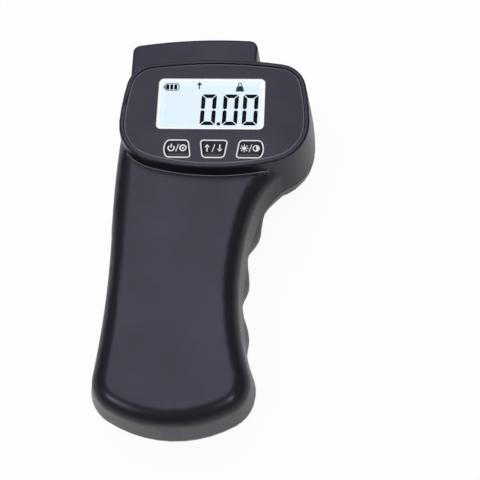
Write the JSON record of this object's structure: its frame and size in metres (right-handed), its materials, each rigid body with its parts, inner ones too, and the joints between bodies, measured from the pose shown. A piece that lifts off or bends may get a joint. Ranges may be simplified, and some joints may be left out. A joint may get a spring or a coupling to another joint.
{
  "type": "digital force gauge",
  "caption": "Hand-held digital force gauge with a finger-grooved grip, an overhanging display head with keys, and a block whose sliding shaft pushes on a bending force cell.",
  "frame": {"origin": "middle of the base of the bounding box, with the gauge lying on its back", "axes": "+Z is the way the display faces, +Y runs from the pommel to the block, +X is the finger side"},
  "size_m": [0.0817, 0.161, 0.042],
  "materials": {
    "housing": "fine matte texture",
    "panel": "satin",
    "keys": "satin",
    "lens": "clear polished",
    "lcd": "pale blue-grey display field",
    "white_plastic": "satin",
    "black_plastic": "satin",
    "black_rubber": "matte",
    "board": "solder mask",
    "steel": "zinc plated",
    "bar_aluminium": "milled",
    "gauge_foil": "coated foil",
    "brass": "turned",
    "cell_jacket": "plain jacket",
    "lead_jacket": "smooth"
  },
  "bodies": {
    "housing": {"front_housing": "housing", "rear_housing": "housing", "face_panel": "panel", "window_lens": "lens", "lcd_frame": "white_plastic", "lcd_glass": "lcd", "backlight": "white_plastic", "lcd_strips": "black_rubber", "main_board": "board", "board_chips": "black_plastic", "board_headers": "white_plastic", "board_screws": "steel", "key_switches": "black_plastic", "load_cell": "bar_aluminium", "strain_gauges": "gauge_foil", "cell_plate": "steel", "cell_screws": "steel", "guide_bush": "brass", "dust_seal": "black_rubber", "battery_cells": "cell_jacket", "battery_springs": "steel", "battery_contacts": "steel", "door_insert": "brass", "housing_screws": "steel", "battery_leads": "lead_jacket", "cell_lead": "lead_jacket"},
    "sensing_end": {"sensing_shaft": "steel", "shaft_nut": "steel"},
    "battery_cover": {"battery_door": "housing", "door_screw": "steel"},
    "power_button": {"power_key": "keys", "power_plunger": "white_plastic"},
    "unit_button": {"unit_key": "keys", "unit_plunger": "white_plastic"},
    "light_button": {"light_key": "keys", "light_plunger": "white_plastic"}
  },
  "joints": [
    {"name": "sensing_slide", "type": "slide", "parent": "housing", "child": "sensing_end", "axis": [0, 0, 1], "range_m": [-0.0003, 0.0003], "stiffness_N_per_m": 20000, "deforming": ["load_cell"]},
    {"name": "cover_lift", "type": "slide", "parent": "housing", "child": "battery_cover", "axis": [0, 0, -1], "range_m": [0, 0.012]},
    {"name": "power_press", "type": "slide", "parent": "housing", "child": "power_button", "axis": [0, 0, -1], "range_m": [0, 0.0005], "stiffness_N_per_m": 1500},
    {"name": "unit_press", "type": "slide", "parent": "housing", "child": "unit_button", "axis": [0, 0, -1], "range_m": [0, 0.0005], "stiffness_N_per_m": 1500},
    {"name": "light_press", "type": "slide", "parent": "housing", "child": "light_button", "axis": [0, 0, -1], "range_m": [0, 0.0005], "stiffness_N_per_m": 1500}
  ]
}
